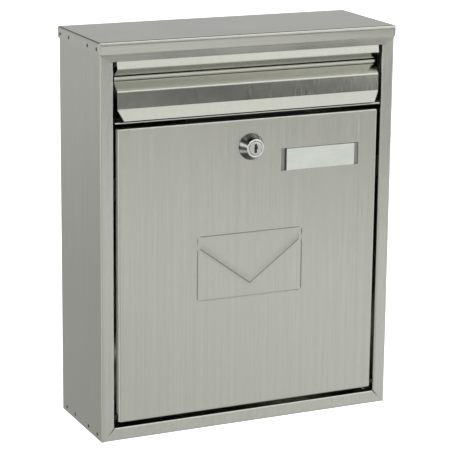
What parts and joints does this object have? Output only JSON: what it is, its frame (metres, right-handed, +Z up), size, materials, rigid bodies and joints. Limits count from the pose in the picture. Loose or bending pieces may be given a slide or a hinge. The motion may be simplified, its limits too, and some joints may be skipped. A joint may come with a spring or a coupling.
{
  "type": "wall letter box",
  "caption": "Wall-mounted steel letter box with a mitred front frame, a hooded slot with a hinged flap, and a fold-down door with a cam lock and a name strip.",
  "frame": {"origin": "centre of the flat back face, where the box meets the wall", "axes": "+X to the viewer's right, +Y into the wall, +Z up; the door faces -Y"},
  "size_m": [0.2922, 0.1135, 0.365],
  "materials": {
    "brushed_sheet": "satin stainless sheet with a fine vertical grain",
    "cap_sheet": "satin stainless sheet, grain along the width",
    "rivet_steel": "flush steel rivet",
    "zinc_hardware": "zinc plated, slightly dull",
    "lock_chrome": "polished chrome",
    "plug_nickel": "satin nickel",
    "wafer_brass": "bare brass",
    "clear_strip": "clear glossy film",
    "name_paper": "blank matt card"
  },
  "bodies": {
    "box": {"body_shell": "brushed_sheet", "floor_panel": "brushed_sheet", "top_cap": "cap_sheet", "slot_hood": "brushed_sheet", "slot_sill": "brushed_sheet", "flap_hinge_rod": "zinc_hardware", "flap_bracket_left": "zinc_hardware", "flap_rod_clip_left": "zinc_hardware", "door_hinge_pin_left": "zinc_hardware", "door_hinge_spacer_left": "zinc_hardware", "door_hinge_clip_left": "zinc_hardware", "door_stop_left": "zinc_hardware", "cap_rivet_left_rear": "rivet_steel", "cap_rivet_left_front": "rivet_steel", "floor_rivet_left_rear": "rivet_steel", "floor_rivet_left_front": "rivet_steel", "flap_bracket_right": "zinc_hardware", "flap_rod_clip_right": "zinc_hardware", "door_hinge_pin_right": "zinc_hardware", "door_hinge_spacer_right": "zinc_hardware", "door_hinge_clip_right": "zinc_hardware", "door_stop_right": "zinc_hardware", "cap_rivet_right_rear": "rivet_steel", "cap_rivet_right_front": "rivet_steel", "floor_rivet_right_rear": "rivet_steel", "floor_rivet_right_front": "rivet_steel"},
    "flap": {"slot_flap": "brushed_sheet"},
    "door": {"door_panel": "brushed_sheet", "lock_housing": "lock_chrome", "lock_nut": "zinc_hardware", "name_window": "clear_strip", "name_card": "name_paper"},
    "lock_barrel": {"lock_plug": "plug_nickel", "lock_cam": "zinc_hardware", "lock_cam_washer": "zinc_hardware", "lock_cam_screw": "zinc_hardware", "lock_wafer_1": "wafer_brass", "lock_wafer_2": "wafer_brass", "lock_wafer_3": "wafer_brass", "lock_wafer_4": "wafer_brass", "lock_wafer_5": "wafer_brass"}
  },
  "joints": [
    {"name": "flap_hinge", "type": "hinge", "parent": "box", "child": "flap", "pos_m": [0, -0.0934, 0.1487], "axis": [-1, 0, 0], "range_deg": [0, 70]},
    {"name": "door_hinge", "type": "hinge", "parent": "box", "child": "door", "pos_m": [0, -0.0998, -0.161], "axis": [1, 0, 0], "range_deg": [0, 90]},
    {"name": "lock_turn", "type": "hinge", "parent": "door", "child": "lock_barrel", "pos_m": [0, -0.103, 0.08], "axis": [0, -1, 0], "range_deg": [0, 90]}
  ]
}
